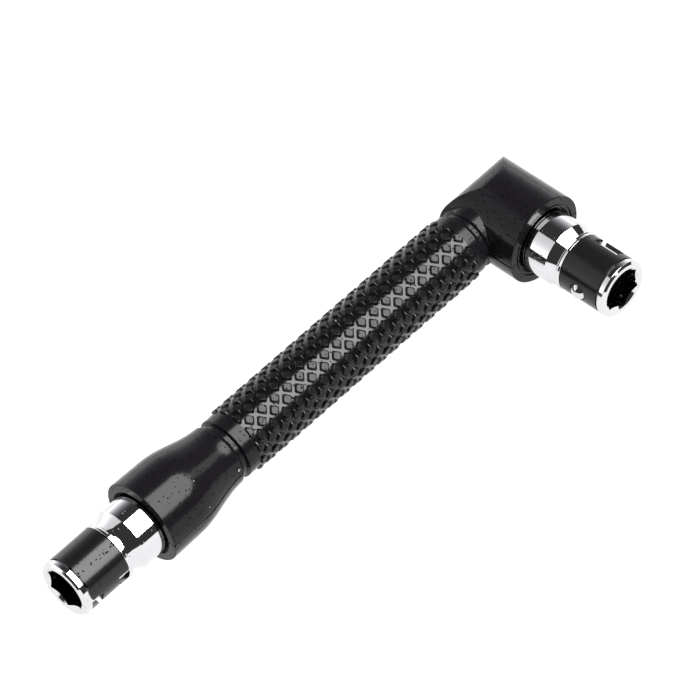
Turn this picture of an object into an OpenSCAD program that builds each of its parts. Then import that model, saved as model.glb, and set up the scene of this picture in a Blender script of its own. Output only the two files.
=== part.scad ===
// Offset screwdriver: a pocket L-shaped bit holder for quarter inch hex bits.
// A moulded handle in two half shells carries a chromed hex socket at each end,
// one in line with the handle and one in a head at a right angle to it.
// A steel ball in each socket wall, held in by a springy C-shaped band, grips the bit,
// and a magnet at the bottom of each socket holds it in.
//
// The corner is the point where the handle's axis meets the head's axis.
// The handle runs from the corner to -X, the head's socket looks along -Y, and the
// tool lies on its side with both axes in one level plane, the parting plane of the shells.
// Each socket is drawn along its own +Z, inwards from the plane of its mouth.

/* [Handle] */
// Distance from the head's axis to the bell's end face
bell_face = 78.7; // [70:0.1:95]
// Length of the bell between its neck groove and its end face
bell_len = 16.55; // [15:0.05:18.5]
// Radius of the bell at its end face
bell_r = 7.15; // [6.9:0.05:8.5]
// Radius of the bell's barrel where the flare ends
bell_barrel_r = 7.03; // [6.85:0.01:7.1]
// Radius of the bell's narrow end, beside the groove
bell_neck_r = 5.3; // [5.1:0.05:5.8]
// Length of the bell's flare
flare_len = 10.7; // [8:0.1:12]
// Radius of the smooth collars and of the grip between its pads
collar_r = 5.25; // [5.05:0.05:5.8]
// Length of the smooth collar beside the bell
bell_collar_len = 2.3; // [1:0.1:4]
// Length of the smooth collar beside the head
head_collar_len = 1.7; // [1:0.1:4]
// Width of the two neck grooves
groove_w = 1.35; // [0.6:0.05:2]
// Depth of the neck grooves below the collars
groove_depth = 0.4; // [0.2:0.05:0.6]
// Distance from the head's axis to the groove beside it
leg_end = 7.4; // [7:0.1:9]
// Radius of the leg between the head and the groove
leg_r = 5.2; // [5:0.05:5.5]

/* [Grip pads] */
// Height of the diamond pads above the grip
pad_height = 0.35; // [0.15:0.05:0.6]
// Distance between pads of one row, along the handle
pad_pitch = 2.708; // [2.4:0.01:3.6]
// Length of a pad's side at its foot
pad_side = 1.5; // [1:0.05:1.7]
// Pads in one ring round the grip
pads_round = 12; // [8:1:13]
// Distance from the bell's collar to the first ring of pads
pad_lead = 0.25; // [0:0.05:1]

/* [Head] */
// Distance from the handle's axis to the head's flat face
head_face = 9.5; // [8.5:0.1:14]
// Radius of the head
head_r = 7.55; // [7.2:0.05:9]
// Distance from the handle's axis, towards the face, at which the head starts to close
mitre_shift = 1.9; // [0.5:0.1:2.4]

/* [Shell insides] */
// Chamfer round the two plastic end faces
face_chamfer = 0.3; // [0.1:0.05:0.6]
// Depth of the dark relief round each socket in its end face
relief_depth = 0.8; // [0.3:0.1:1.5]
// Width of that relief
relief_w = 0.3; // [0.1:0.05:0.6]
// Depth of the round seat for each socket
seat_depth = 6; // [5:0.1:7]
// Radius of the hollow in the grip
core_r = 3.3; // [2.4:0.05:3.5]
// Thickness of the webs across that hollow
web_len = 3; // [2.2:0.1:4]
// Number of hollows in the grip
core_count = 3; // [1:1:4]
// Distance from the head's axis to the first hollow
core_start = 8.2; // [7:0.1:12]
// Radius of the locating pegs
peg_r = 0.8; // [0.5:0.05:1]
// Length of the locating pegs above the parting plane
peg_len = 1.6; // [1:0.1:2.2]

/* [Sockets] */
// Distance across the flats of the hex bore
bore_af = 6.44; // [6.4:0.01:6.5]
// Length of a socket that stands out of the plastic
socket_out = 16.2; // [15:0.1:20]
// Radius of the chromed collar that enters the plastic
collar_out_r = 5.25; // [5:0.05:5.5]
// Radius of the mouth's flat ring
mouth_r = 4.15; // [4:0.05:4.5]
// Radius of the lip in front of the band
lip_r = 4.85; // [4.7:0.05:5]
// Length of the lip, mouth chamfer included
lip_len = 1.3; // [1:0.05:1.8]
// Length of the mouth's outer chamfer
mouth_chamfer = 0.55; // [0.2:0.05:0.8]
// Radius of the countersink at the mouth
sink_r = 3.8; // [3.72:0.01:3.95]
// Depth of the countersink
sink_depth = 0.4; // [0.2:0.05:0.6]
// Radius of the ring behind the band
ring_r = 4.9; // [4.8:0.05:5.1]
// Width of the ring behind the band
ring_w = 0.45; // [0.2:0.05:0.8]
// Radius of the cone's narrow end
cone_r = 4.65; // [4.4:0.05:4.8]
// Length of the cone between ring and collar
cone_len = 2.1; // [1:0.1:3]
// Width of the lock groove in the collar, inside the plastic
lock_w = 1.2; // [0.8:0.1:1.6]
// Depth of the lock groove
lock_depth = 0.4; // [0.2:0.05:0.6]
// Distance from the plastic's end face to the lock groove
lock_from_face = 2.5; // [1.5:0.1:3.2]

/* [Bands and balls] */
// Outer radius of the spring band
band_r = 4.8; // [4.7:0.05:4.9]
// Thickness of the spring band
band_t = 0.5; // [0.35:0.05:0.55]
// Length of the spring band
band_len = 7.6; // [6.5:0.1:9]
// Width of the band's slit beside the tongue
slit_w = 2.7; // [1.5:0.1:3]
// How far the tongue's tip stops short of the band's other edge
tongue_gap = 0.1; // [0.05:0.05:0.6]
// Width of the tongue
tongue_w = 3.4; // [2.5:0.1:4]
// Width of the recess that faces the tongue
recess_w = 4.6; // [4.2:0.1:5]
// Depth of that recess, round the band
recess_depth = 2.8; // [1:0.1:3.5]
// Radius of the steel ball
ball_r = 1.5; // [1.45:0.01:1.55]
// How far the ball stands into the bore at rest
ball_bite = 0.75; // [0.7:0.01:0.8]

/* [Shanks and magnets] */
// Distance across the flats of the hex shanks
shank_af = 6.35; // [6.3:0.01:6.38]
// Depth of the bore in front of the magnet
bit_depth = 12; // [11:0.1:13]
// Thickness of the magnet
magnet_len = 2; // [1:0.1:3]
// Radius of the magnet
magnet_r = 3; // [2:0.05:3.1]
// Length of the handle's shank
end_shank_len = 28; // [20:0.5:36]
// Length of the head's shank
head_shank_len = 14; // [11:0.5:15]

/* [Hidden] */
$fn = 96;
// Overrun of every cut past the face that it opens
over = 0.5;
// Clearance between a socket and its seat, and between a shank and its pocket
seat_gap = 0.05;
// Play of the band along its groove at each end
band_play = 0.05;
// Clearance between the band and the floor of its groove
band_gap = 0.03;
// Clearance round the ball in its seat
ball_gap = 0.02;
// Clearance round the ball in the band's window
window_gap = 0.02;
// Clearance round a peg and at its tip
peg_gap = 0.05;
// Clearance at the end of a shank in its pocket
shank_end_gap = 0.2;
// Clearance round the shells' bead in the lock groove
bead_gap = 0.1;
// Angle between the middle of the band's slit and the ball's window
window_angle = 165;
// Turn of the first ring of pads, as a share of the step between two pads
pad_turn_share = 0.75;
// Turn of each band about its socket's axis, from the underside of the tool
end_band_turn = -75;
head_band_turn = 255;
// Steps in the curve of the bell's flare
flare_steps = 12;

// Places along the handle, as distances from the corner
bell_start = bell_face - bell_len;
bell_groove_start = bell_start - groove_w;
grip_end = bell_groove_start - bell_collar_len;
head_groove_end = leg_end + groove_w;
grip_start = head_groove_end + head_collar_len;
groove_r = collar_r - groove_depth;

// Places along a socket, as depths from its mouth
band_start = lip_len + band_play;
groove_end = lip_len + band_len + 2 * band_play;
ring_end = groove_end + ring_w;
cone_end = ring_end + cone_len;
socket_len = socket_out + seat_depth;
lock_start = socket_out + lock_from_face;
groove_floor_r = band_r - band_t - band_gap;
ball_depth = band_start + band_len / 2;
ball_out = bore_af / 2 - ball_bite + ball_r;
window_r = sqrt(ball_r * ball_r - pow(band_r - band_t - ball_out, 2)) + window_gap;
shank_start = bit_depth + magnet_len;

// Places of the two mouths and of the head's back, from the corner
end_mouth = bell_face + socket_out;
head_mouth = head_face + socket_out;
head_back = head_r - mitre_shift;

// The corner's place over the middle of the tool's footprint, and the height of the axes
corner_x = (end_mouth - head_r) / 2;
corner_y = (head_mouth - max(bell_r, head_back)) / 2;
widest_r = max(head_r, bell_r);

// Pegs: in the webs of the grip, beside the handle's shank and beside the head's shank,
// which stand at a share of the way from the corner to the head's back
head_peg_share = 0.2;
end_shank_end = end_mouth - shank_start - end_shank_len;
core_end = end_shank_end - shank_end_gap - web_len;
core_span = (core_end - core_start + web_len) / core_count;
side_peg_y = (shank_af / 2 + bell_neck_r + (bell_r - bell_neck_r) / 2) / 2;
side_peg_at = bell_face - seat_depth - (flare_len - seat_depth) / 2;
head_peg_x = (shank_af / 2 + head_r) / 2;
head_peg_y = head_back * head_peg_share;

// Distance from the centre to a corner of a hexagon, as a share of the width over flats
hex_corner_share = 1 / sqrt(3);

function ease(share) = (1 - cos(180 * share)) / 2;

// Turns a piece drawn along +Z so that +Z runs from the corner along the handle
module along_handle() {
    rotate([0, -90, 0])
        children();
}

// Puts the corner over the middle of the tool's footprint, at the height of the axes
module at_corner() {
    translate([corner_x, corner_y, widest_r])
        children();
}

// Puts a piece drawn inwards from a mouth into the handle's socket
module at_end() {
    at_corner()
        translate([-end_mouth, 0, 0])
            rotate([0, 90, 0])
                children();
}

// Puts a piece drawn inwards from a mouth into the head's socket
module at_head() {
    at_corner()
        translate([0, -head_mouth, 0])
            rotate([-90, 0, 0])
                rotate([0, 0, 90])
                    children();
}

// A hexagonal bar with two corners up and down, in the parting plane's normal
module hex_bar(af, len) {
    cylinder(r = af * hex_corner_share, h = len, $fn = 6);
}

// Outline of the leg, the grip and the bell, as radius and distance from the corner
module handle_outline() {
    polygon(concat(
        [[0, 0], [leg_r, 0], [leg_r, leg_end],
         [groove_r, leg_end], [groove_r, head_groove_end],
         [collar_r, head_groove_end], [collar_r, bell_groove_start],
         [groove_r, bell_groove_start], [groove_r, bell_start]],
        [for (i = [0 : flare_steps])
            [bell_neck_r + (bell_barrel_r - bell_neck_r) * ease(i / flare_steps),
             bell_start + flare_len * i / flare_steps]],
        [[bell_r, bell_face - face_chamfer], [bell_r - face_chamfer, bell_face], [0, bell_face]]
    ));
}

// One diamond pad, standing out along +X from the handle's axis
module pad_bar() {
    rotate([45, 0, 0])
        translate([0, -pad_side / 2, -pad_side / 2])
            cube([collar_r + pad_height + over, pad_side, pad_side]);
}

// The pads, cut to the grip's length and to one height
module grip_pads() {
    rings = floor((grip_end - grip_start) / (pad_pitch / 2)) + 1;
    intersection() {
        translate([0, 0, grip_start])
            cylinder(r = collar_r + pad_height, h = grip_end - grip_start);
        union() {
            for (ring = [0 : rings])
                for (k = [0 : pads_round - 1])
                    translate([0, 0, grip_end - pad_lead - ring * pad_pitch / 2])
                        rotate([0, 0, (k + pad_turn_share + (ring % 2) / 2) * 360 / pads_round])
                            pad_bar();
        }
    }
}

// The head: a round bar along the head's axis, closed at the back by a round bar across it
module head_solid() {
    intersection() {
        translate([0, -head_face, 0])
            rotate([-90, 0, 0])
                rotate_extrude()
                    polygon([[0, 0], [head_r - face_chamfer, 0], [head_r, face_chamfer],
                             [head_r, head_face + head_back], [0, head_face + head_back]]);
        union() {
            translate([-head_r, -mitre_shift, 0])
                rotate([0, 90, 0])
                    cylinder(r = head_r, h = 2 * head_r);
            translate([-head_r, -head_face, -head_r])
                cube([2 * head_r, head_face - mitre_shift, 2 * head_r]);
        }
    }
}

// The seat of a socket and its shank, cut inwards from the plastic's end face
module socket_seat(shank_len) {
    seat_r = collar_out_r + seat_gap;
    pocket_len = shank_start + shank_len - socket_out + shank_end_gap;
    difference() {
        translate([0, 0, -over])
            cylinder(r = seat_r, h = seat_depth + seat_gap + over);
        translate([0, 0, lock_from_face + bead_gap])
            difference() {
                cylinder(r = seat_r + over, h = lock_w - 2 * bead_gap);
                translate([0, 0, -over])
                    cylinder(r = collar_out_r - lock_depth + bead_gap, h = lock_w + 2 * over);
            }
    }
    translate([0, 0, -over])
        cylinder(r = collar_out_r + relief_w, h = relief_depth + over);
    hex_bar(shank_af + 2 * seat_gap, pocket_len);
}

// Everything that is hollow inside the two shells
module shell_hollows() {
    translate([-bell_face, 0, 0])
        rotate([0, 90, 0])
            socket_seat(end_shank_len);
    translate([0, -head_face, 0])
        rotate([-90, 0, 0])
            rotate([0, 0, 90])
                socket_seat(head_shank_len);
    along_handle()
        for (i = [0 : core_count - 1])
            translate([0, 0, core_start + i * core_span])
                cylinder(r = core_r, h = core_span - web_len);
}

// Places a child at each locating peg, on the parting plane
module at_pegs() {
    for (i = [1 : core_count])
        translate([-core_start - i * core_span + web_len / 2, 0, 0])
            children();
    for (side = [-1, 1]) {
        translate([-side_peg_at, side * side_peg_y, 0])
            children();
        translate([side * head_peg_x, head_peg_y, 0])
            children();
    }
}

// One half of the hollow handle: side is 1 above the parting plane and -1 below it
module half_shell(side) {
    reach = bell_face + widest_r + 2 * over;
    difference() {
        union() {
            along_handle() {
                rotate_extrude()
                    handle_outline();
                grip_pads();
            }
            head_solid();
        }
        shell_hollows();
        translate([-bell_face - over, -head_face - over, side > 0 ? -reach : 0])
            cube([reach, head_face + widest_r + 2 * over, reach]);
    }
}

// Lower half of the handle, with the locating pegs
module handle_lower_shell() {
    color("#1f1c20")
        at_corner() {
            half_shell(-1);
            at_pegs()
                translate([0, 0, -peg_len])
                    cylinder(r = peg_r, h = 2 * peg_len);
        }
}

// Upper half of the handle, with a hole for each peg
module handle_upper_shell() {
    color("#242125")
        at_corner()
            difference() {
                half_shell(1);
                at_pegs()
                    translate([0, 0, -over])
                        cylinder(r = peg_r + peg_gap, h = peg_len + peg_gap + over);
            }
}

// A socket: mouth, lip, band groove, ring, cone and collar, with a hex bore right through
module socket(ball_angle) {
    difference() {
        rotate_extrude()
            polygon([[0, 0], [mouth_r, 0], [lip_r, mouth_chamfer], [lip_r, lip_len],
                     [groove_floor_r, lip_len], [groove_floor_r, groove_end],
                     [ring_r, groove_end], [ring_r, ring_end],
                     [cone_r, ring_end], [collar_out_r, cone_end],
                     [collar_out_r, lock_start], [collar_out_r - lock_depth, lock_start],
                     [collar_out_r - lock_depth, lock_start + lock_w], [collar_out_r, lock_start + lock_w],
                     [collar_out_r, socket_len], [0, socket_len]]);
        translate([0, 0, -over])
            hex_bar(bore_af, socket_len + 2 * over);
        rotate_extrude()
            polygon([[0, 0], [sink_r, 0], [bore_af / 2, sink_depth], [0, sink_depth]]);
        rotate([0, 0, ball_angle])
            translate([ball_out, 0, ball_depth]) {
                sphere(r = ball_r + ball_gap);
                rotate([0, 90, 0])
                    cylinder(r = ball_r + ball_gap, h = ball_r + over);
            }
    }
}

// A sector of a tube round the socket's axis, from one angle to another and under half a turn
module sector(from, to, low, high) {
    far = 2 * band_r;
    rotate([0, 0, from])
        translate([0, 0, low])
            linear_extrude(height = high - low)
                polygon([[0, 0], [far, 0], [far, far * tan((to - from) / 2)],
                         [far * cos(to - from), far * sin(to - from)]]);
}

// The spring band, lying round its own axis with its slit towards +X and its middle at zero.
// The edge with the recess is past +X and the edge with the tongue is before it.
module spring_band() {
    slit = slit_w / band_r * 180 / PI;
    tip = tongue_gap / band_r * 180 / PI;
    recess = recess_depth / band_r * 180 / PI;
    difference() {
        translate([0, 0, -band_len / 2])
            difference() {
                cylinder(r = band_r, h = band_len);
                translate([0, 0, -over])
                    cylinder(r = band_r - band_t, h = band_len + 2 * over);
            }
        sector(-slit / 2, slit / 2, -band_len / 2 - over, -tongue_w / 2);
        sector(-slit / 2, slit / 2, tongue_w / 2, band_len / 2 + over);
        sector(slit / 2 - tip, slit / 2 + recess, -recess_w / 2, recess_w / 2);
        rotate([0, 0, window_angle])
            rotate([0, 90, 0])
                cylinder(r = window_r, h = band_r + over);
    }
}

// A ball at its seat
module ball(ball_angle) {
    rotate([0, 0, ball_angle])
        translate([ball_out, 0, ball_depth])
            sphere(r = ball_r);
}

// A magnet disc at the bottom of the bore
module magnet() {
    translate([0, 0, bit_depth])
        cylinder(r = magnet_r, h = magnet_len);
}

// A hex shank, half in the socket and half in the shells
module shank(len) {
    translate([0, 0, shank_start])
        hex_bar(shank_af, len);
}

// Handle end
module end_socket() {
    color("#e8e8ec")
        at_end()
            socket(end_band_turn + window_angle);
}

module end_spring_band() {
    color("#262428")
        at_end()
            translate([0, 0, ball_depth])
                rotate([0, 0, end_band_turn])
                    spring_band();
}

module end_ball() {
    color("#d0d0d4")
        at_end()
            ball(end_band_turn + window_angle);
}

module end_magnet() {
    color("#9a9a9e")
        at_end()
            magnet();
}

module end_shank() {
    color("#8c8c90")
        at_end()
            shank(end_shank_len);
}

// Head end: the same parts, with the band turned end for end
module head_socket() {
    color("#e8e8ec")
        at_head()
            socket(head_band_turn - window_angle);
}

module head_spring_band() {
    color("#262428")
        at_head()
            translate([0, 0, ball_depth])
                rotate([0, 0, head_band_turn])
                    rotate([180, 0, 0])
                        spring_band();
}

module head_ball() {
    color("#d0d0d4")
        at_head()
            ball(head_band_turn - window_angle);
}

module head_magnet() {
    color("#9a9a9e")
        at_head()
            magnet();
}

module head_shank() {
    color("#8c8c90")
        at_head()
            shank(head_shank_len);
}

handle_lower_shell();
handle_upper_shell();
end_socket();
end_spring_band();
end_ball();
end_magnet();
end_shank();
head_socket();
head_spring_band();
head_ball();
head_magnet();
head_shank();
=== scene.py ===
# %% [markdown]
# # A pocket offset screwdriver
# The tool is an L: a moulded handle with a chromed bit socket at its end, and a head with the
# same socket at a right angle. The CAD model is loaded first and stays as it is: it says where
# everything goes. What shows is then modelled again with rounded edges and fine detail, because
# a real moulding or turned part has no perfectly sharp edge, and it is the edges that shine.

# %% Load the frame
import math

import bmesh
import bpy
from mathutils import Matrix, Vector


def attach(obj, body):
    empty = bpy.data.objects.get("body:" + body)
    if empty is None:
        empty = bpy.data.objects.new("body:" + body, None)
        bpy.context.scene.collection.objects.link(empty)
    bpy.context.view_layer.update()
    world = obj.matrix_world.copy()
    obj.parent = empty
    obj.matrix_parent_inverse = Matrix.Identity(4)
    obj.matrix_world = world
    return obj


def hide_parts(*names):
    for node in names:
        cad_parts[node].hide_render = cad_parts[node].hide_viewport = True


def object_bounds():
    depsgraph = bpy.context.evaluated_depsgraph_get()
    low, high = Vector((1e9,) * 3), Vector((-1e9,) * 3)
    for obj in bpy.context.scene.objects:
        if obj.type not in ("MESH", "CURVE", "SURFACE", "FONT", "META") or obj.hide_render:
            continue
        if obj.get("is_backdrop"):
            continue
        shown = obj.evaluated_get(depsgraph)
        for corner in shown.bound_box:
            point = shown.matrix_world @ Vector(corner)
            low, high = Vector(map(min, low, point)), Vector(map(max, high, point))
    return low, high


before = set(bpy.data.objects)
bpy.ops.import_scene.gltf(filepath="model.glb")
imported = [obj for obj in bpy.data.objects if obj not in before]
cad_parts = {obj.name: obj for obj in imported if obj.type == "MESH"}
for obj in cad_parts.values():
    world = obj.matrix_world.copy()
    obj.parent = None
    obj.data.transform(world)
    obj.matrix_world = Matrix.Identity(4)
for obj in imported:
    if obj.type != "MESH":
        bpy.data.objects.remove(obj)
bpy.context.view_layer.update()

# %% [markdown]
# ## Camera
# The photograph was taken from far off with a long lens, above the table and a little to the
# left. The place and the lens come from fitting the ends of the handle and of both sockets.
# A long lens keeps lines nearly parallel, so a short one would make the head look too small.
# All places are measured in millimetres from the corner of the L, where the two axes cross.

# %% Place the camera
MM = 0.001
CORNER = Vector((43.675, 9.275, 7.55))
STAND = Vector((-340.85, -368.63, 566.65))
lens = bpy.data.cameras.new("photo_camera")
lens.lens, lens.sensor_width = 251.2, 36
lens.clip_start, lens.clip_end = 0.05, 20
camera = bpy.data.objects.new("photo_camera", lens)
bpy.context.scene.collection.objects.link(camera)
to_right = Vector((0.68579607, -0.72124845, -0.09738802))
to_top = Vector((0.59952979, 0.48399005, 0.63743051))
to_back = Vector((-0.41261093, -0.49553436, 0.76432841))
camera.matrix_world = Matrix((to_right, to_top, to_back)).transposed().to_4x4()
camera.location = (CORNER + STAND) * MM
bpy.context.scene.camera = camera
print("camera stands", round(STAND.length * MM, 3), "m from the corner")

# %% [markdown]
# ## Helpers for modelling
# Merges and booleans have thresholds made for things a metre across. So each piece is modelled
# at a thousand times its size, with a millimetre as the unit, and shrunk when it is put in place.
# Everything is deselected before a piece is started, as an operator acts on all that is selected.


# %% Start, select and finish a piece
def alone(thing):
    """Selects one object and nothing else."""
    bpy.ops.object.select_all(action="DESELECT")
    thing.select_set(True)
    bpy.context.view_layer.objects.active = thing
    return thing


def named(name):
    """Names the object that was just added."""
    thing = bpy.context.object
    thing.name = thing.data.name = name
    return thing


def pick(thing, mode, wanted):
    """In edit mode, selects the vertices, edges or faces for which wanted(part) is true."""
    mesh = bmesh.from_edit_mesh(thing.data)
    bpy.ops.mesh.select_mode(type=mode)
    bpy.ops.mesh.select_all(action="DESELECT")
    for part in {"VERT": mesh.verts, "EDGE": mesh.edges, "FACE": mesh.faces}[mode]:
        if wanted(part):
            part.select_set(True)
    mesh.select_flush_mode()
    bmesh.update_edit_mesh(thing.data)


def put(thing, place):
    """Turns and moves a piece into place, and keeps that in its mesh."""
    alone(thing)
    thing.matrix_world = place @ thing.matrix_world
    bpy.ops.object.transform_apply(location=True, rotation=True, scale=True)
    return thing


# %% [markdown]
# A turned part is one outline spun round its axis. The outline is drawn as by hand: a plane is
# merged to a single point, and the point is extruded from corner to corner. Corners are then
# rounded with a vertex bevel, which costs far less than bevelling the edges of the spun shape.
# Stacked cylinders would do as well, but each joint between them would need a Boolean.


# %% Spin an outline
NEAR = 1e-4


def turned(name, corners, steps=96):
    """A closed solid round +Z. Each corner is (radius, height) or (radius, height, rounding)."""
    first = corners[0]
    bpy.ops.object.select_all(action="DESELECT")
    bpy.ops.mesh.primitive_plane_add(size=0.01, location=(0, 0, 0))
    thing = named(name)
    bpy.ops.object.mode_set(mode="EDIT")
    bpy.ops.mesh.select_mode(type="VERT")
    bpy.ops.mesh.select_all(action="SELECT")
    bpy.ops.mesh.merge(type="CENTER")
    bpy.ops.transform.translate(value=(first[0], 0, first[1]))
    for here, there in zip(corners, corners[1:]):
        step = (there[0] - here[0], 0, there[1] - here[1])
        bpy.ops.mesh.extrude_region_move(TRANSFORM_OT_translate={"value": step})
    for size in sorted({corner[2] for corner in corners if len(corner) > 2}):
        spots = [Vector((c[0], 0, c[1])) for c in corners if len(c) > 2 and c[2] == size]
        pick(thing, "VERT", lambda v: any((v.co - spot).length < NEAR for spot in spots))
        bpy.ops.mesh.bevel(offset=size, segments=3, affect="VERTICES", clamp_overlap=True)
    bpy.ops.mesh.select_all(action="SELECT")
    bpy.ops.mesh.spin(steps=steps, angle=2 * math.pi, center=(0, 0, 0), axis=(0, 0, 1))
    bpy.ops.mesh.select_all(action="SELECT")
    bpy.ops.mesh.remove_doubles(threshold=NEAR)
    bpy.ops.mesh.normals_make_consistent(inside=False)
    bpy.ops.object.mode_set(mode="OBJECT")
    return thing


# %% Cut with a tool
def carve(thing, tool, operation="DIFFERENCE"):
    """Applies a Boolean with a tool, which is then thrown away."""
    alone(thing)
    change = thing.modifiers.new("carve", "BOOLEAN")
    change.operation, change.solver, change.object = operation, "EXACT", tool
    bpy.ops.object.modifier_apply(modifier=change.name)
    bpy.data.objects.remove(tool)
    return thing


def rod(name, radius, low, high, vertices=48, turn=0.0, at=(0, 0)):
    """A plain bar along +Z from low to high, for use as a Boolean tool."""
    bpy.ops.object.select_all(action="DESELECT")
    bpy.ops.mesh.primitive_cylinder_add(
        vertices=vertices, radius=radius, depth=high - low,
        location=(at[0], at[1], (low + high) / 2), rotation=(0, 0, turn))
    thing = named(name)
    bpy.ops.object.transform_apply(location=True, rotation=True, scale=True)
    return thing


def box(name, low, high):
    """A plain block between two corners, for use as a Boolean tool."""
    bpy.ops.object.select_all(action="DESELECT")
    low, high = Vector(low), Vector(high)
    bpy.ops.mesh.primitive_cube_add(size=1, location=(low + high) / 2, scale=high - low)
    thing = named(name)
    bpy.ops.object.transform_apply(location=True, rotation=True, scale=True)
    return thing


# %% [markdown]
# Shading decides how a rounded edge looks. Blender averages the direction of the faces round a
# point, so a narrow bevel tilts the shine of the broad face beside it. The Weighted Normal
# modifier lets the broad face win, and the chrome then mirrors straight lines as straight.


# %% Shade a finished piece
def shaded(thing, degrees):
    """Shades smooth, but for the edges that turn by more than that many degrees."""
    alone(thing)
    bpy.ops.object.shade_smooth_by_angle(angle=math.radians(degrees))
    even = thing.modifiers.new("even", "WEIGHTED_NORMAL")
    even.keep_sharp = True
    bpy.ops.object.modifier_apply(modifier=even.name)
    print(thing.name, len(thing.data.polygons), "faces")
    return thing


# %% [markdown]
# ## Where things go
# Each socket is drawn along +Z, inwards from its mouth, and the handle is drawn along +Z from
# the corner of the L. Three turns put them in place, the same ones that the CAD model uses.

# %% Frames of the handle and of the two sockets
END_MOUTH, HEAD_MOUTH = 94.9, 25.7
ALONG_HANDLE = Matrix(((0, 0, -1), (0, 1, 0), (1, 0, 0))).to_4x4()
INTO_END = Matrix(((0, 0, 1), (0, 1, 0), (-1, 0, 0))).to_4x4()
INTO_HEAD = Matrix(((0, -1, 0), (0, 0, 1), (-1, 0, 0))).to_4x4()
SHRINK = Matrix.Scale(MM, 4)
TO_ROW = SHRINK @ Matrix.Translation(CORNER)
TO_END = TO_ROW @ Matrix.Translation((-END_MOUTH, 0, 0)) @ INTO_END
TO_HEAD = TO_ROW @ Matrix.Translation((0, -HEAD_MOUTH, 0)) @ INTO_HEAD
print("mouths", END_MOUTH, "mm and", HEAD_MOUTH, "mm from the corner")

# %% [markdown]
# ## Sockets
# Each socket is turned from a steel bar, bored to a hexagon for quarter inch bits and chromed.
# The chrome shows every edge, so all the outer corners are rounded a little. Behind the ring that
# stops the band, a neck widens to the collar: its cone mirrors the softbox as the white patch of
# the photograph, and that patch gave its slope. The countersink at the mouth is part of the
# outline, and the hexagon is cut afterwards: where its corners cut into the cone they leave the
# scalloped rim. The rim could be drawn point by point, but the Boolean finds it by itself.

# %% Outline of a socket
SOCKET_LEN, COLLAR_R, LIP_R, GROOVE_R = 22.2, 5.25, 4.85, 4.27
END_NECK = [(4.3, 9.68), (4.43, 10.7), (COLLAR_R, 12.1, 0.04)]
HEAD_NECK = [(4.3, 9.55), (COLLAR_R, 11.5, 0.04)]


def socket_outline(neck):
    """The outline of a socket, whose neck widens to the collar through these corners."""
    mouth = [(0, 0.4), (3.22, 0.4), (3.8, 0, 0.05), (4.5, 0, 0.03), (LIP_R, 0.34, 0.03)]
    groove = [(LIP_R, 1.15, 0.03), (GROOVE_R, 1.17), (GROOVE_R, 8.88)]
    ring = [(4.86, 8.88, 0.05), (4.86, 9.3), (4.98, 9.45), (4.98, 9.52), (4.3, 9.54)]
    lock = [(COLLAR_R, 18.7), (4.85, 18.7), (4.85, 19.9), (COLLAR_R, 19.9)]
    return [*mouth, *groove, *ring, *neck, *lock, (COLLAR_R, SOCKET_LEN, 0.1), (0, SOCKET_LEN)]


# %% Turn and bore a socket
BORE_FLATS, PAST = 6.44, 1
BALL, BALL_AT, BALL_DEPTH, BALL_PLAY = 1.5, 3.97, 5.15, 0.02


def ball_seat():
    """A ball whose outer half is drawn out, so that it cuts a hole all the way outwards."""
    bpy.ops.object.select_all(action="DESELECT")
    bpy.ops.mesh.primitive_uv_sphere_add(
        segments=48, ring_count=24, radius=BALL + BALL_PLAY, location=(BALL_AT, 0, BALL_DEPTH),
        rotation=(0, math.pi / 2, 0))
    seat = named("ball_seat")
    bpy.ops.object.transform_apply(location=True, rotation=True, scale=True)
    bpy.ops.object.mode_set(mode="EDIT")
    pick(seat, "FACE", lambda f: f.calc_center_median().x > BALL_AT + 0.01)
    bpy.ops.transform.translate(value=(BALL, 0, 0))
    bpy.ops.object.mode_set(mode="OBJECT")
    return put(seat, Matrix.Rotation(math.pi / 2, 4, "Z"))


def socket(name, place, neck):
    """A bored socket, with the hole for its ball."""
    thing = turned(name, socket_outline(neck), steps=128)
    corner_r = BORE_FLATS / math.sqrt(3)
    carve(thing, rod("hexagon", corner_r, -PAST, SOCKET_LEN + PAST, vertices=6, turn=math.pi / 2))
    carve(thing, ball_seat())
    return put(shaded(thing, 32), place)


end_socket = socket("handle_end_socket", TO_END, END_NECK)
head_socket = socket("head_end_socket", TO_HEAD, HEAD_NECK)

# %% [markdown]
# ## Spring bands
# A strip of blackened spring steel is rolled to a C round each socket, over the ball. One edge
# has a tongue in the middle, and the other edge has a wider recess that faces it. A tube is cut
# open to that shape with three wedges, and then every edge gets a narrow bevel, as tumbled
# spring steel has. The round window for the ball is cut last: the thin faces that it leaves would
# otherwise hold the bevel back. Both bands are one part, and the head's is turned end for end.


# %% Cut a slit
def wedge(start, stop, low, high):
    """A block between two half planes through the axis, given by their angles."""
    thing = box("wedge", (2, -6, low), (6, 6, high))
    bpy.ops.object.mode_set(mode="EDIT")
    for angle, way in ((start, -1), (stop, 1)):
        across = (-math.sin(angle) * way, math.cos(angle) * way, 0)
        bpy.ops.mesh.select_all(action="SELECT")
        bpy.ops.mesh.bisect(plane_co=(0, 0, 0), plane_no=across, use_fill=True, clear_outer=True)
    bpy.ops.object.mode_set(mode="OBJECT")
    return thing


# %% Roll a band
STEPS = 96
BAND_IN, BAND_R, BAND_LOW, BAND_HIGH = 4.3, 4.8, -3.66, 3.68
SLIT, TIP, RECESS = 1.35 / BAND_R, 1.25 / BAND_R, 4.15 / BAND_R
TONGUE, RECESS_HALF, WINDOW, WINDOW_TURN = 1.7, 2.3, 1.483, 165


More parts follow.
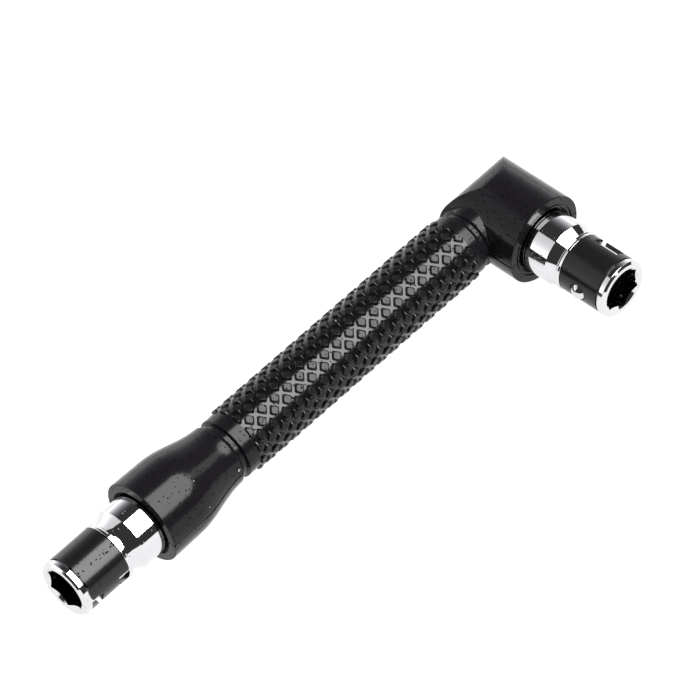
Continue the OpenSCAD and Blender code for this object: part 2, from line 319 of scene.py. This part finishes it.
def band(name, place, turn, flip):
    """A band whose slit lies that many degrees round the socket."""
    wall = [(BAND_IN, BAND_LOW), (BAND_R, BAND_LOW, 0.06), (BAND_R, BAND_HIGH, 0.06),
            (BAND_IN, BAND_HIGH), (BAND_IN, BAND_LOW)]
    thing = turned(name, wall, STEPS)
    put(thing, Matrix.Rotation(math.pi / STEPS, 4, "Z"))
    carve(thing, wedge(-SLIT, SLIT, -5, -TONGUE))
    carve(thing, wedge(-SLIT, SLIT, TONGUE, 5))
    carve(thing, wedge(TIP, RECESS, -RECESS_HALF, RECESS_HALF))
    alone(thing)
    soften = thing.modifiers.new("soften", "BEVEL")
    soften.width, soften.segments, soften.limit_method = 0.05, 2, "ANGLE"
    soften.angle_limit = math.radians(40)
    bpy.ops.object.modifier_apply(modifier=soften.name)
    window = rod("window", WINDOW, 3, 6, vertices=64)
    outwards = Matrix.Rotation(math.pi / 2, 4, "Y")
    carve(thing, put(window, Matrix.Rotation(math.radians(WINDOW_TURN), 4, "Z") @ outwards))
    if flip:
        put(thing, Matrix.Rotation(math.pi, 4, "X"))
    return put(shaded(thing, 35), place @ Matrix.Translation((0, 0, BALL_DEPTH))
               @ Matrix.Rotation(math.radians(turn), 4, "Z"))


end_band = band("handle_end_band", TO_END, -75, False)
head_band = band("head_end_band", TO_HEAD, 255, True)

# %% [markdown]
# ## Handle
# The handle is a moulding in two halves. Leg, neck grooves, grip and bell are one turned outline
# round the handle's axis. The head is a round bar across it, closed at the back by a second
# round bar at a right angle, which gives the two sharp mitre lines of the photograph. A box with
# rounded edges would be simpler, but it has no mitre lines.

# %% Outline of leg, grip and bell
GRIP = (10.45, 58.5)
GRIP_R = 5.25
BELL, FLARE_LEN, FLARE_STEPS, HANDLE_END = 62.15, 10.7, 20, 78.7
HALF_STEP = Matrix.Rotation(math.pi / STEPS, 4, "Z")


def eased(share):
    """Goes from 0 to 1 with a soft start and a soft end."""
    return (1 - math.cos(math.pi * share)) / 2


leg = [(0, 0), (5.22, 0), (5.22, 7.3, 0.04), (4.76, 7.55), (4.76, 8.15), (GRIP_R, 8.8, 0.04)]
grip = [(GRIP_R, GRIP[0]), (GRIP_R, GRIP[1]), (GRIP_R, 60.78, 0.04)]
groove = [(4.7, 61.03), (4.7, 61.7), (5.28, 62.35, 0.04)]
flare = [(5.3 + 1.73 * eased(i / FLARE_STEPS), BELL + FLARE_LEN * i / FLARE_STEPS)
         for i in range(1, FLARE_STEPS)]
bell = [(7.03, BELL + FLARE_LEN), (7.15, HANDLE_END, 0.22), (0, HANDLE_END)]
HANDLE_OUTLINE = [*leg, *grip, *groove, *flare, *bell]
print("handle outline", len(HANDLE_OUTLINE), "corners")

# %% Head and body
HEAD_R, HEAD_FACE_AT, BACK_AT, OVER = 7.55, -9.5, -1.9, 12


def back_bar():
    """The bar that closes the head: a cylinder whose front half is widened and drawn out."""
    bpy.ops.object.select_all(action="DESELECT")
    bpy.ops.mesh.primitive_cylinder_add(
        vertices=STEPS, radius=HEAD_R, depth=2 * OVER, location=(0, BACK_AT, 0),
        rotation=(0, math.pi / 2, 0))
    back = named("back")
    bpy.ops.object.transform_apply(location=True, rotation=True, scale=True)
    axis = Matrix.Translation((0, BACK_AT, 0))
    put(back, axis @ Matrix.Rotation(math.pi / STEPS, 4, "X") @ axis.inverted())
    bpy.ops.object.mode_set(mode="EDIT")
    pick(back, "VERT", lambda v: v.co.y < BACK_AT)
    bpy.ops.transform.resize(value=(1, 1, 1.6))
    bpy.ops.transform.translate(value=(0, -OVER, 0))
    bpy.ops.object.mode_set(mode="OBJECT")
    return back


def handle_body():
    """Handle and head in one, still solid."""
    thing = put(turned("body", HANDLE_OUTLINE, STEPS), ALONG_HANDLE @ HALF_STEP)
    head = turned("head", [(0, 0), (HEAD_R, 0, 0.18), (HEAD_R, 17), (0, 17)], STEPS)
    put(head, Matrix.Translation((0, HEAD_FACE_AT, 0)) @ INTO_HEAD @ HALF_STEP)
    carve(head, back_bar(), "INTERSECT")
    return carve(thing, head, "UNION")


body = handle_body()
print("handle body", len(body.data.polygons), "faces")

# %% [markdown]
# The insides are cut next: a round seat with a locking rib for each socket, a hexagonal pocket
# for its shank, and three hollows in the grip, as the CAD model has them. The mouth of each seat
# is a little wider, and the head's has a shallow step, which show as dark rings round the chrome.

# %% Hollow the handle
SEAT_R, RIB_R, SHANK_FLATS, END_POCKET, HEAD_POCKET = 5.3, 4.95, 6.45, 26, 12
HOLLOWS, HOLLOW_R, HOLLOW_LEN = (8.2, 23.0, 37.8), 3.3, 11.7
SEAT = [(SEAT_R, 0.8), (SEAT_R, 2.6), (RIB_R, 2.6), (RIB_R, 3.6), (SEAT_R, 3.6), (SEAT_R, 6.05),
        (0, 6.05)]
END_STEPS = [(0, -PAST), (5.75, -PAST), (5.75, 0.7), (5.55, 0.7), (5.55, 0.8)]
HEAD_STEPS = [(0, -PAST), (6.3, -PAST), (6.3, 0.25), (5.98, 0.25), (5.98, 0.05), (5.72, 0.05),
              (5.72, 0.8)]
END_FACE = Matrix.Translation((-HANDLE_END, 0, 0)) @ INTO_END
HEAD_FACE = Matrix.Translation((0, HEAD_FACE_AT, 0)) @ INTO_HEAD
for face, steps, depth in ((END_FACE, END_STEPS, END_POCKET),
                           (HEAD_FACE, HEAD_STEPS, HEAD_POCKET)):
    carve(body, put(turned("seat", steps + SEAT, 72), face))
    carve(body, put(rod("pocket", SHANK_FLATS / math.sqrt(3), 5, depth, 6, math.pi / 2), face))
for start in HOLLOWS:
    carve(body, put(rod("hollow", HOLLOW_R, start, start + HOLLOW_LEN), ALONG_HANDLE))
print("hollow body", len(body.data.polygons), "faces")

# %% [markdown]
# ## Grip pads
# The grip is covered with small raised diamonds. One pad is modelled with rounded corners and a
# soft top edge, and copied round the grip and along it, each second ring shifted by half a step.
# A bump in the material would be lighter, but the pads also show as teeth on the grip's outline.

# %% One pad
PAD_ROOT, PAD_TOP, PAD_SIDE = 5.0, 5.6, 1.8


def one_pad():
    """A pad that stands out along +X from the grip's axis and narrows towards its top."""
    bpy.ops.object.select_all(action="DESELECT")
    bpy.ops.mesh.primitive_cube_add(
        size=1, location=((PAD_ROOT + PAD_TOP) / 2, 0, 0),
        scale=(PAD_TOP - PAD_ROOT, PAD_SIDE, PAD_SIDE))
    pad = named("pad")
    bpy.ops.object.transform_apply(location=True, rotation=True, scale=True)
    bpy.ops.object.mode_set(mode="EDIT")
    pick(pad, "FACE", lambda f: f.normal.x > 0.9)
    bpy.ops.transform.resize(value=(1, 0.6, 0.6))
    pick(pad, "EDGE", lambda e: abs(e.verts[0].co.x - e.verts[1].co.x) > 0.3)
    bpy.ops.mesh.bevel(offset=0.26, segments=2)
    pick(pad, "FACE", lambda f: f.normal.x > 0.9)
    bpy.ops.mesh.region_to_loop()
    bpy.ops.mesh.bevel(offset=0.05, segments=2)
    bpy.ops.object.mode_set(mode="OBJECT")
    print("one pad", len(pad.data.polygons), "faces")
    return put(pad, Matrix.Rotation(math.pi / 4, 4, "X"))


pad = one_pad()


# %% Copy the pads over the grip
def twin(thing):
    """A copy with a mesh of its own."""
    copy = thing.copy()
    copy.data = thing.data.copy()
    bpy.context.scene.collection.objects.link(copy)
    return copy


PAD_RINGS, PADS_ROUND, FIRST_RING, RING_STEP, PAD_TURN = 37, 12, 58.3, 1.354, 0.75
copies = []
for ring in range(PAD_RINGS):
    for k in range(PADS_ROUND):
        copy = twin(pad)
        turn = (k + PAD_TURN + (ring % 2) / 2) * 2 * math.pi / PADS_ROUND
        spot = Matrix.Translation((0, 0, FIRST_RING - ring * RING_STEP))
        copy.matrix_world = ALONG_HANDLE @ spot @ Matrix.Rotation(turn, 4, "Z")
        copies.append(copy)
bpy.ops.object.select_all(action="DESELECT")
for copy in copies:
    copy.select_set(True)
bpy.context.view_layer.objects.active = copies[0]
bpy.ops.object.transform_apply(location=True, rotation=True, scale=True)
bpy.ops.object.join()
pads = named("pads")
bpy.data.objects.remove(pad)
bpy.ops.object.mode_set(mode="EDIT")
for spot, way in (((-GRIP[0], 0, 0), (1, 0, 0)), ((-GRIP[1], 0, 0), (-1, 0, 0))):
    bpy.ops.mesh.select_all(action="SELECT")
    bpy.ops.mesh.bisect(plane_co=spot, plane_no=way, use_fill=True, clear_outer=True)
bpy.ops.object.mode_set(mode="OBJECT")
print("pads", len(pads.data.polygons), "faces")

# %% [markdown]
# ## Two halves
# The halves meet in the plane of the L. Each is cut a hair short of it and its outer edge is
# broken with a small bevel, so that the joint shows as the fine dark line of the photograph.

# %% Part the handle
SEAM, SEAM_EDGE = 0.09, 0.09
SEAT_FROM, HEAD_FROM = -72, -8


def outside(point):
    """True on the outer skin at the joint, which is wider than the seats and the hollows."""
    if point.x < SEAT_FROM:
        return abs(point.y) > 6.5
    if point.x < HEAD_FROM:
        return abs(point.y) > 4.65
    return abs(point.x) > 6.5 or point.y > 5


def half(name, side):
    """The half above the joint for side 1, and below it for side -1."""
    shell = twin(body)
    shell.name = shell.data.name = name
    low, high = sorted((SEAM * side, 20 * side))
    carve(shell, box("half_space", (-90, -20, low), (20, 20, high)), "INTERSECT")
    alone(shell)
    bpy.ops.object.mode_set(mode="EDIT")
    pick(shell, "EDGE", lambda e: e.calc_face_angle(0) > 0.5 and all(
        abs(abs(v.co.z) - SEAM) < 1e-3 and outside(v.co) for v in e.verts))
    bpy.ops.mesh.bevel(offset=SEAM_EDGE, segments=1)
    bpy.ops.object.mode_set(mode="OBJECT")
    own_pads = alone(twin(pads))
    bpy.ops.object.mode_set(mode="EDIT")
    bpy.ops.mesh.select_all(action="SELECT")
    bpy.ops.mesh.bisect(
        plane_co=(0, 0, SEAM * side), plane_no=(0, 0, -side), use_fill=True, clear_outer=True)
    bpy.ops.object.mode_set(mode="OBJECT")
    alone(shell)
    own_pads.select_set(True)
    bpy.ops.object.join()
    return put(shaded(shell, 28), TO_ROW)


lower = half("handle_lower_half", -1)
upper = half("handle_upper_half", 1)
bpy.data.objects.remove(body)
bpy.data.objects.remove(pads)

# %% [markdown]
# ## Finishes
# A material is a small graph of nodes. It could be drawn in the shader editor, but in a script it
# can be read. Helpers keep it short: a Wire is the output of a node that can be used in sums, a
# Graph makes nodes and links, and a Finish is the graph of one material.


# %% Nodes as sums
class Wire:
    """The output of a node, to use in sums."""

    def __init__(self, graph, socket):
        self.graph, self.socket = graph, socket

    def math(self, operation, one, two=0.0):
        return self.graph.node("ShaderNodeMath", {"operation": operation}, {0: one, 1: two})

    def __add__(self, other):
        return self.math("ADD", self, other)

    def __sub__(self, other):
        return self.math("SUBTRACT", self, other)

    def __rsub__(self, other):
        return self.math("SUBTRACT", other, self)

    def __mul__(self, other):
        return self.math("MULTIPLY", self, other)

    def __gt__(self, other):
        return self.math("GREATER_THAN", self, other)

    def __lt__(self, other):
        return self.math("LESS_THAN", self, other)

    __radd__, __rmul__ = __add__, __mul__


# %% Make and link nodes
class Graph:
    """A tree of nodes, made node by node."""

    def __init__(self, tree):
        self.tree = tree

    def node(self, kind, settings=None, inputs=None, output=0):
        made = self.tree.nodes.new(kind)
        for key, value in (settings or {}).items():
            setattr(made, key, value)
        self.fill(made, inputs or {})
        return Wire(self, made.outputs[output])

    def fill(self, made, inputs):
        for key, value in inputs.items():
            if isinstance(value, Wire):
                self.tree.links.new(value.socket, made.inputs[key])
            else:
                made.inputs[key].default_value = value

    def split(self, vector):
        made = self.node("ShaderNodeSeparateXYZ", None, {0: vector})
        return [Wire(self, output) for output in made.socket.node.outputs]


# %% One material
class Finish(Graph):
    """One material, with its surface and the place of each point in metres."""

    def __init__(self, name):
        self.material = bpy.data.materials.new(name)
        self.material.use_nodes = True
        super().__init__(self.material.node_tree)
        self.surface = self.tree.nodes["Principled BSDF"]
        self.place = self.node("ShaderNodeTexCoord", output="Object")

    def noise(self, scale, detail=3.0, roughness=0.5):
        return self.node("ShaderNodeTexNoise", None, {
            "Vector": self.place, "Scale": scale, "Detail": detail, "Roughness": roughness})

    def spots(self, scale, share, size):
        """Ragged spots in a share of the cells of a Voronoi pattern, of that size in cells."""
        ragged = self.node("ShaderNodeTexNoise", None, {
            "Vector": self.place, "Scale": scale * 2.2, "Detail": 2.0}, output=1)
        place = self.node("ShaderNodeVectorMath", {"operation": "MULTIPLY_ADD"}, {
            0: ragged, 1: (0.7 / scale,) * 3, 2: self.place})
        cells = {"Vector": place, "Scale": scale, "Randomness": 1.0}
        near = self.node("ShaderNodeTexVoronoi", None, cells, output="Distance")
        lot = self.split(self.node("ShaderNodeTexVoronoi", None, cells, output="Color"))[0]
        return (near < size) * (lot < share)

    def blend(self, share, one, two):
        """Goes from colour one to colour two as the share goes from 0 to 1."""
        colours = {0: share, 6: one, 7: two}
        return self.node("ShaderNodeMix", {"data_type": "RGBA"}, colours, output=2)


# %% [markdown]
# ### Black plastic
# The handle is glossy black ABS. It is never perfectly even: the shine is broken by fine waves,
# dark specks of lint lie on it, and here and there a grain of light dust. A speck that reflects
# nothing is a black metal: plain black paint would still shine. The grip mirrors the light more
# than the rest, so it gets a thin coat, which is thinner and duller on the tops of the pads. Its
# base colour is also darker: painted shade, for the shade that falls between the pads.


# %% Black plastic
def black_plastic(name):
    finish = Finish(name)
    waves, grain = finish.noise(260, 2), finish.noise(5200, 2)
    lint, dust = finish.spots(2000, 0.4, 0.28), finish.spots(900, 0.012, 0.12)
    along, across, up = finish.split(finish.place)
    across, up = across - CORNER.y * MM, up - CORNER.z * MM
    radius = finish.node("ShaderNodeMath", {"operation": "SQRT"}, {0: across * across + up * up})
    on_grip = (along > (CORNER.x - GRIP[1]) * MM) * (along < (CORNER.x - GRIP[0]) * MM)
    on_pad = on_grip * (radius > 5.5 * MM)
    # The grip's darker base colour is painted shade, for the shade in the gaps between the pads.
    black = finish.blend(on_grip, (0.006, 0.0053, 0.0063, 1), (0.003, 0.0027, 0.0032, 1))
    finish.fill(finish.surface, {
        "Base Color": finish.blend(
            lint, finish.blend(dust, black, (0.3, 0.3, 0.31, 1)), (0.001, 0.001, 0.001, 1)),
        "Specular IOR Level": 0.17, "Metallic": lint * 0.9,
        "Coat Weight": (on_grip * 0.36 - on_pad * 0.16) * (1 - lint), "Coat Roughness": 0.12,
        "Roughness": 0.12 + waves * 0.07 + on_pad * 0.18 + lint * 0.4,
        "Normal": finish.node("ShaderNodeBump", None, {
            "Strength": 0.3, "Distance": 0.00006, "Height": grain * 0.15 + waves * 0.3})})
    return finish.material


# %% [markdown]
# ### Chrome, steels and magnet
# Chrome is a metal with almost no roughness, so nearly all of its look comes from what it
# mirrors. Faint smudges and a few dull specks stop it from looking like a computer's mirror. The
# bands are black all through, with small worn marks and one line of scuffs on the handle's band.


# %% Metals
def metal(name, colour, roughness, smudge, bump=0.0, specks=0.0):
    finish = Finish(name)
    cloud, fine = finish.noise(420, 4, 0.6), finish.noise(6500, 2)
    marks = finish.spots(1900, specks, 0.22)
    dull = tuple(0.55 * part for part in colour)
    finish.fill(finish.surface, {
        "Base Color": finish.blend(marks, (*colour, 1), (*dull, 1)), "Metallic": 1.0,
        "Roughness": roughness + cloud * smudge + marks * 0.5,
        "Normal": finish.node("ShaderNodeBump", None, {
            "Strength": bump, "Distance": 0.00002, "Height": fine})})
    return finish.material


def black_steel(name):
    finish = Finish(name)
    cloud, fine = finish.noise(700, 4, 0.6), finish.noise(5200, 3)
    marks, scuff = finish.spots(1700, 0.12, 0.26), finish.spots(2400, 0.6, 0.4)
    across, up = finish.split(finish.place)[1:]
    beside = (across - CORNER.y * MM) * 0.866 + (up - CORNER.z * MM) * 0.5
    scuffed = scuff * (beside < 0.0005) * (beside > -0.0003) * (up > CORNER.z * MM)
    marked = finish.node("ShaderNodeMath", {"operation": "MAXIMUM"}, {0: marks, 1: scuffed})
    finish.fill(finish.surface, {
        "Base Color": finish.blend(marked, (0.006, 0.0058, 0.0062, 1), (0.001, 0.001, 0.001, 1)),
        "Specular IOR Level": 0.3, "Metallic": marked * 0.8,
        "Roughness": 0.12 + cloud * 0.14 + marked * 0.4,
        "Normal": finish.node("ShaderNodeBump", None, {
            "Strength": 0.2, "Distance": 0.00003, "Height": fine})})
    return finish.material


plastic = black_plastic("handle_plastic")
chrome = metal("socket_chrome", (0.67, 0.67, 0.685), 0.03, 0.05, 0.05, 0.1)
band_steel = black_steel("band_spring_steel")
ball_steel = metal("ball_steel", (0.62, 0.62, 0.64), 0.08, 0.05)
nickel = metal("magnet_nickel", (0.5, 0.5, 0.51), 0.25, 0.15, 0.2)
hex_steel = metal("shank_steel", (0.42, 0.42, 0.43), 0.3, 0.15, 0.3)
print("chrome", chrome.name, "with", len(chrome.node_tree.nodes), "nodes")

# %% [markdown]
# ## Handing over
# Each piece modelled here takes the place of one solid of the CAD model and moves with its body.
# The balls, magnets and shanks are so plain that they stay as they came, with a finish of ours.

# %% Give every piece its finish and its body, and hide the CAD node it replaces
dressed = [
    (lower, plastic, "handle_plastic", "handle_lower_shell"),
    (upper, plastic, "handle_plastic", "handle_upper_shell"),
    (end_socket, chrome, "socket_chrome", "end_socket"),
    (head_socket, chrome, "socket_chrome", "head_socket"),
    (end_band, band_steel, "band_spring_steel", "end_spring_band"),
    (head_band, band_steel, "band_spring_steel", "head_spring_band"),
]
for piece, material, slot, node in dressed:
    piece.data.materials.clear()
    piece.data.materials.append(material)
    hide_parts(node)
    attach(piece, "tool")
kept = {"end_ball": ball_steel, "head_ball": ball_steel, "end_magnet": nickel,
        "head_magnet": nickel, "end_shank": hex_steel, "head_shank": hex_steel}
for node, material in kept.items():
    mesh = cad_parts[node].data
    mesh.materials.clear()
    mesh.materials.append(material)
print(len(dressed), "pieces modelled here and", len(kept), "kept")

# %% [markdown]
# ## Studio
# The chrome tells where the lights stood: a strong oval softbox to the right of the camera and
# high up, a weak fill beyond it, a large soft one behind the tool on the left, a bright horizon
# at the back and a dark room in front. The white table glows by itself, so that the shadow under
# the tool is lost in it as in the photograph. A picture of a studio could light it all at once,
# but each patch on the chrome has a light of its own here that can be moved.

# %% Floor and room
bpy.ops.object.select_all(action="DESELECT")
bpy.ops.mesh.primitive_plane_add(size=3, location=(0, 0, 0))
floor = named("floor")
bpy.ops.object.transform_apply(location=True, rotation=True, scale=True)
table = Finish("pale_table")
table.fill(table.surface, {
    "Base Color": (0.1, 0.1, 0.1, 1), "Roughness": 0.8, "Specular IOR Level": 0.1,
    "Emission Color": (1, 1, 1, 1), "Emission Strength": 1.04})
floor.data.materials.append(table.material)
floor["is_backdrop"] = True

room = bpy.data.worlds.new("studio")
room.use_nodes = True
bpy.context.scene.world = room
air = Graph(room.node_tree)
back, high = air.split(air.node("ShaderNodeTexCoord", output="Generated"))[1:]
fade = air.node("ShaderNodeMath", {"operation": "MULTIPLY", "use_clamp": True}, {
    0: 1 - high * 1.2, 1: 1.0})
behind = air.node("ShaderNodeMath", {"operation": "MULTIPLY", "use_clamp": True}, {
    0: back - 0.28, 1: 5.0})
air.fill(room.node_tree.nodes["Background"], {
    "Color": (1, 1, 1.03, 1), "Strength": 0.045 + behind * fade * fade * 2.1})


# %% Softboxes
def softbox(name, shape, spot, toward, along, width, height, radiance):
    """A flat light whose back faces that way; along is the way its height runs."""
    light = bpy.data.lights.new(name, "AREA")
    light.shape, light.size, light.size_y = shape, width, height
    area = width * height * (math.pi / 4 if shape == "ELLIPSE" else 1)
    light.energy = radiance * math.pi * area
    thing = bpy.data.objects.new(name, light)
    bpy.context.scene.collection.objects.link(thing)
    back = Vector(toward).normalized()
    side = Vector(along).cross(back).normalized()
    thing.matrix_world = Matrix((side, back.cross(side), back)).transposed().to_4x4()
    thing.location = spot
    thing.visible_camera = False
    return thing


lights = [
    softbox("right_softbox", "ELLIPSE", (0.147, -0.285, 0.59), (0.301, -0.484, 0.822),
            (-0.951, -0.082, 0.3), 0.854, 0.55, 11.5),
    softbox("right_fill", "ELLIPSE", (0.518, -0.203, 0.42), (0.74, -0.29, 0.6),
            (-0.63, 0, 0.77), 0.22, 0.34, 2.6),
    softbox("left_softbox", "RECTANGLE", (-0.366, 0.689, 0.45), (-0.407, 0.765, 0.5),
            (0.235, -0.44, 0.866), 1.2, 0.96, 0.85)]
print([(light.name, round(light.data.energy, 1)) for light in lights])
bpy.context.scene.view_settings.view_transform = "Standard"
bpy.context.scene.view_settings.look = "None"

# %% [markdown]
# ## Size
# The dressed tool must be as large as the CAD model, so its box is measured and printed.

# %% Print the size of the dressed tool
low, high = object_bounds()
print("visual box", [round(x, 5) for x in low], [round(x, 5) for x in high])
